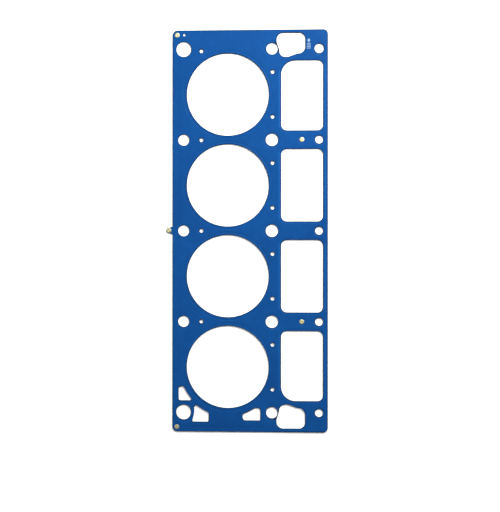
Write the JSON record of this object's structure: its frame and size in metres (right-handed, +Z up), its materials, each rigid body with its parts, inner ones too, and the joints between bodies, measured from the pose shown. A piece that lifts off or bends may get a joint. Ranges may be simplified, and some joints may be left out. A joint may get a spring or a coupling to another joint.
{
  "type": "cylinder head gasket",
  "caption": "Multi-layer steel cylinder head gasket with a blue coating: a row of large bores, windows for the pushrods beside them, bolt and coolant holes, and a riveted edge tab.",
  "frame": {"origin": "on the block face, on the line of bore centres, midway between the two middle bores", "axes": "+Z up from the block to the head; +Y along the row of bores, towards the end whose corner has the small locating hole; +X across it, towards the windows"},
  "size_m": [0.1989, 0.4945, 0.0022],
  "materials": {
    "blue_coating": "satin",
    "sheet_steel": "satin",
    "brass": "satin"
  },
  "bodies": {
    "root": {"outer_layer_head_side": "blue_coating", "outer_layer_block_side": "blue_coating", "distance_layer": "sheet_steel", "stopper_ring_1": "sheet_steel", "stopper_ring_2": "sheet_steel", "stopper_ring_3": "sheet_steel", "stopper_ring_4": "sheet_steel", "rivet_top_left": "brass", "rivet_bottom_left": "brass", "rivet_tab": "brass", "rivet_upper_bar": "brass", "rivet_lower_bar": "brass"}
  },
  "joints": []
}
